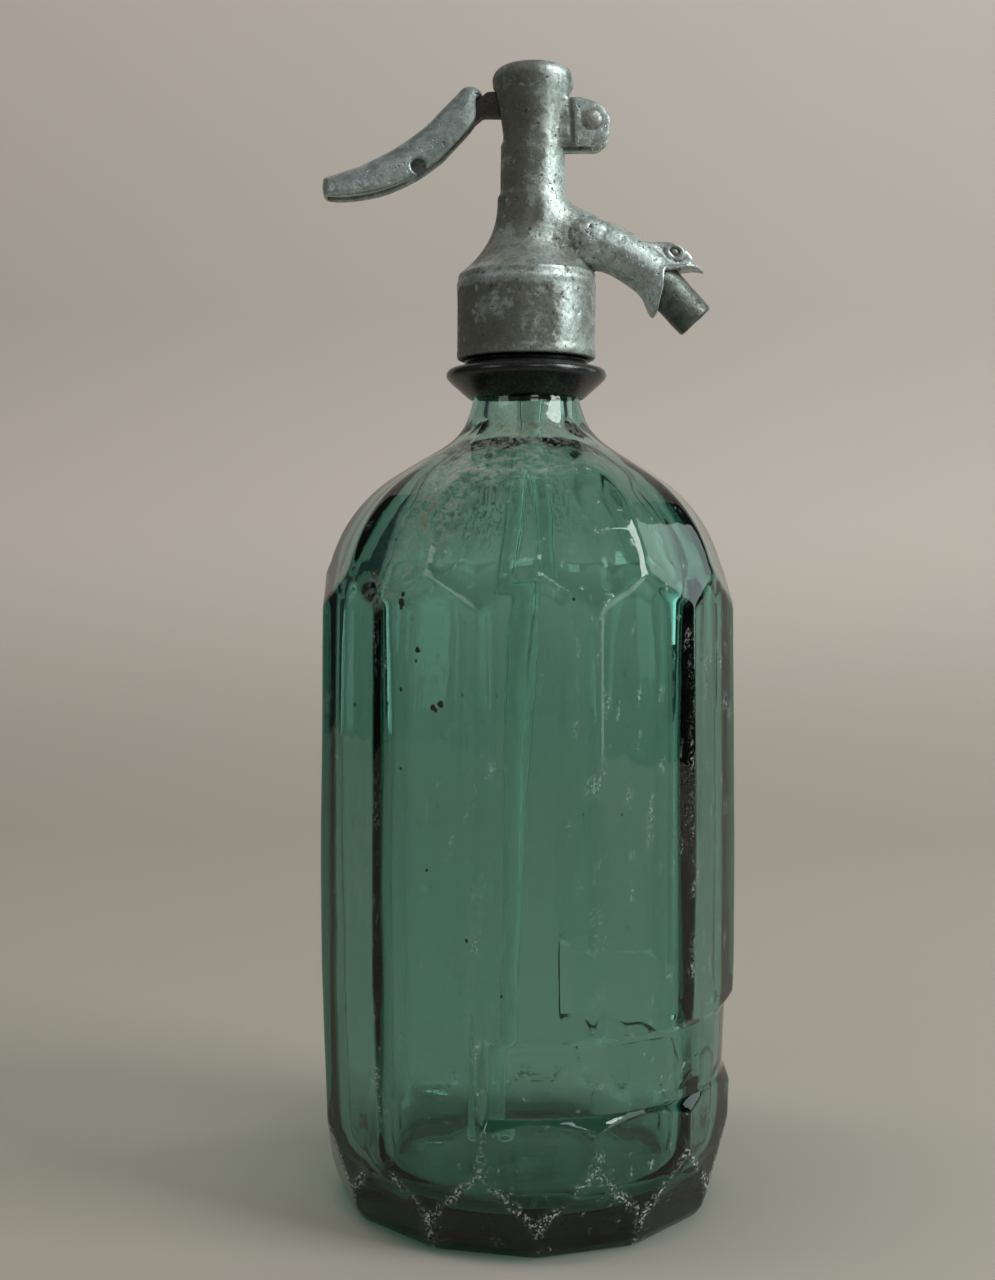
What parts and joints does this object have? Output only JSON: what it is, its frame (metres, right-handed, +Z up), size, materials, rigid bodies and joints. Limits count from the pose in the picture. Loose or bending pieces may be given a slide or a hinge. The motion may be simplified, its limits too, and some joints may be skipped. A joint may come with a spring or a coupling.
{
  "type": "soda siphon bottle",
  "caption": "Vintage soda siphon: faceted green glass bottle with a cast head, press lever, curved spout, valve and dip tube.",
  "frame": {"origin": "centre of the flat base, on the axis of the glass bottle", "axes": "+Z up along the bottle's axis, +X towards the spout, -X towards the lever's thumb tip"},
  "size_m": [0.1026, 0.1026, 0.2794],
  "materials": {
    "green_glass": "thick moulded sea-green glass, worn and slightly wavy",
    "clear_glass": "thin clear glass tube",
    "black_collar": "moulded black, glossy on the rim, dusty in the threads",
    "gasket_rubber": "aged brown rubber",
    "seal_rubber": "black rubber",
    "sleeve_rubber": "aged red-brown rubber",
    "head_metal": "dull pewter-grey casting with olive-brown patina and pitting",
    "nozzle_metal": "dull pewter-grey tube, tarnished",
    "handle_metal": "dull pewter-grey casting, polished by use along its ridge",
    "dark_steel": "blackened steel",
    "pin_steel": "tarnished steel, peened ends",
    "spring_steel": "drawn wire",
    "valve_brass": "turned brass, dull",
    "cage_metal": "turned tin alloy, dull"
  },
  "bodies": {
    "bottle": {"glass_bottle": "green_glass", "collar_half_front": "black_collar", "collar_half_rear": "black_collar", "mouth_gasket": "gasket_rubber", "head_gasket": "gasket_rubber", "head_casting": "head_metal", "nozzle_tube": "nozzle_metal", "lever_pin": "pin_steel", "return_spring": "spring_steel", "spring_washer": "spring_steel", "stem_packing": "seal_rubber", "gland_nut": "valve_brass", "valve_seat": "valve_brass", "valve_cage": "cage_metal", "tube_sleeve": "sleeve_rubber", "dip_tube": "clear_glass"},
    "lever": {"lever_handle": "handle_metal", "lever_tongue": "dark_steel"},
    "valve": {"plunger_cap": "valve_brass", "valve_stem": "valve_brass", "valve_washer": "seal_rubber", "washer_cup": "valve_brass", "stem_nut": "valve_brass"}
  },
  "joints": [
    {"name": "lever_press", "type": "hinge", "parent": "bottle", "child": "lever", "pos_m": [0.0158, 0, 0.2651], "axis": [0, -1, 0], "range_deg": [0, 14], "stiffness_Nm_per_rad": 0.35, "springref_deg": -8.59},
    {"name": "valve_stroke", "type": "slide", "parent": "bottle", "child": "valve", "axis": [0, 0, -1], "range_m": [0, 0.0036], "deforming": ["return_spring"]}
  ],
  "couplings": [
    {"joint": "valve_stroke", "follows": "lever_press", "m_per_rad": 0.0142}
  ]
}
